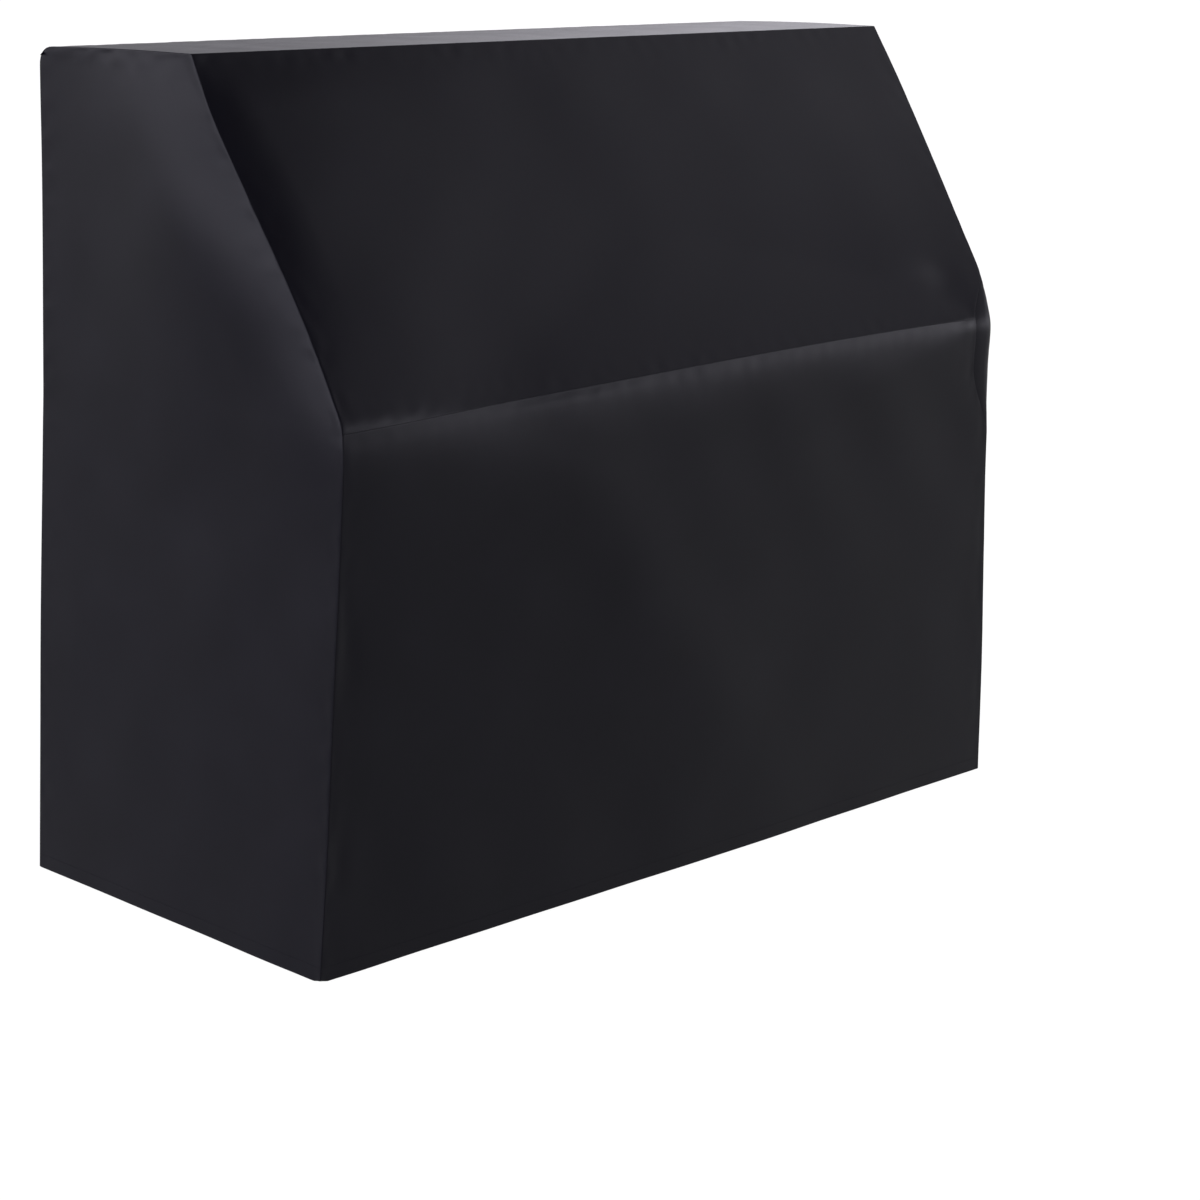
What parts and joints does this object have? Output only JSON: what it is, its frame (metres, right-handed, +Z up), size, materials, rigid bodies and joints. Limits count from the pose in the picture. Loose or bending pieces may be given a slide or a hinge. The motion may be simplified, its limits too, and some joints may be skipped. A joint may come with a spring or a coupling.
{
  "type": "upright piano cover",
  "caption": "Fitted plain black cloth cover for an upright piano: gabled ends, narrow top, sloping upper front bent at a knee line, straight front and back to an open hem.",
  "frame": {"origin": "middle of the top panel's underside, where the piano's lid carries the cover; the hem is 1.269 m below it", "axes": "+X to the right across the width, +Y to the back, +Z up"},
  "size_m": [1.565, 0.659, 1.2752],
  "materials": {
    "cover_cloth": "smooth close-woven black cloth with a soft satin sheen"
  },
  "bodies": {
    "root": {"end_panel_left": "cover_cloth", "end_panel_right": "cover_cloth", "top_panel": "cover_cloth", "upper_front_panel": "cover_cloth", "lower_front_panel": "cover_cloth", "back_panel": "cover_cloth"}
  },
  "joints": []
}
